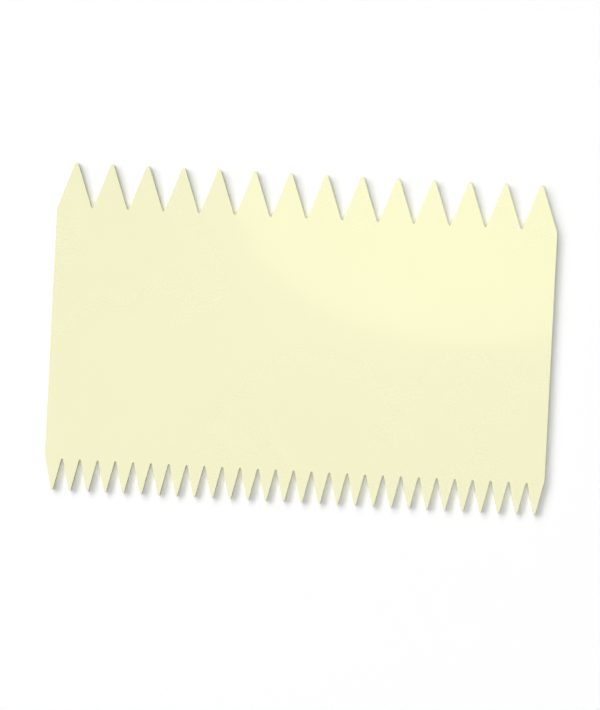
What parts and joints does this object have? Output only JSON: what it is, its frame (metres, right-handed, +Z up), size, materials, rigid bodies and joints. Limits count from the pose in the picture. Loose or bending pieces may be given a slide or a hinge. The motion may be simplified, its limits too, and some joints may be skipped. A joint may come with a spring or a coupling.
{
  "type": "cake comb",
  "caption": "Thin flat two-edged pastry comb in cream plastic, with coarse pointed teeth on one long edge and fine ones on the other, drawn along icing to leave ridges.",
  "frame": {"origin": "under the middle of the comb's outline, on the flat back that it lies on", "axes": "+X along the toothed edges, +Y from the fine teeth towards the coarse teeth, +Z up out of the front face"},
  "size_m": [0.112, 0.0734, 0.0015],
  "materials": {
    "cream_plastic": "satin"
  },
  "bodies": {
    "root": {"blade": "cream_plastic", "coarse_tooth_01": "cream_plastic", "coarse_tooth_02": "cream_plastic", "coarse_tooth_03": "cream_plastic", "coarse_tooth_04": "cream_plastic", "coarse_tooth_05": "cream_plastic", "coarse_tooth_06": "cream_plastic", "coarse_tooth_07": "cream_plastic", "coarse_tooth_08": "cream_plastic", "coarse_tooth_09": "cream_plastic", "coarse_tooth_10": "cream_plastic", "coarse_tooth_11": "cream_plastic", "coarse_tooth_12": "cream_plastic", "coarse_tooth_13": "cream_plastic", "coarse_tooth_14": "cream_plastic", "fine_tooth_01": "cream_plastic", "fine_tooth_02": "cream_plastic", "fine_tooth_03": "cream_plastic", "fine_tooth_04": "cream_plastic", "fine_tooth_05": "cream_plastic", "fine_tooth_06": "cream_plastic", "fine_tooth_07": "cream_plastic", "fine_tooth_08": "cream_plastic", "fine_tooth_09": "cream_plastic", "fine_tooth_10": "cream_plastic", "fine_tooth_11": "cream_plastic", "fine_tooth_12": "cream_plastic", "fine_tooth_13": "cream_plastic", "fine_tooth_14": "cream_plastic", "fine_tooth_15": "cream_plastic", "fine_tooth_16": "cream_plastic", "fine_tooth_17": "cream_plastic", "fine_tooth_18": "cream_plastic", "fine_tooth_19": "cream_plastic", "fine_tooth_20": "cream_plastic", "fine_tooth_21": "cream_plastic", "fine_tooth_22": "cream_plastic", "fine_tooth_23": "cream_plastic", "fine_tooth_24": "cream_plastic", "fine_tooth_25": "cream_plastic", "fine_tooth_26": "cream_plastic", "fine_tooth_27": "cream_plastic", "fine_tooth_28": "cream_plastic"}
  },
  "joints": []
}
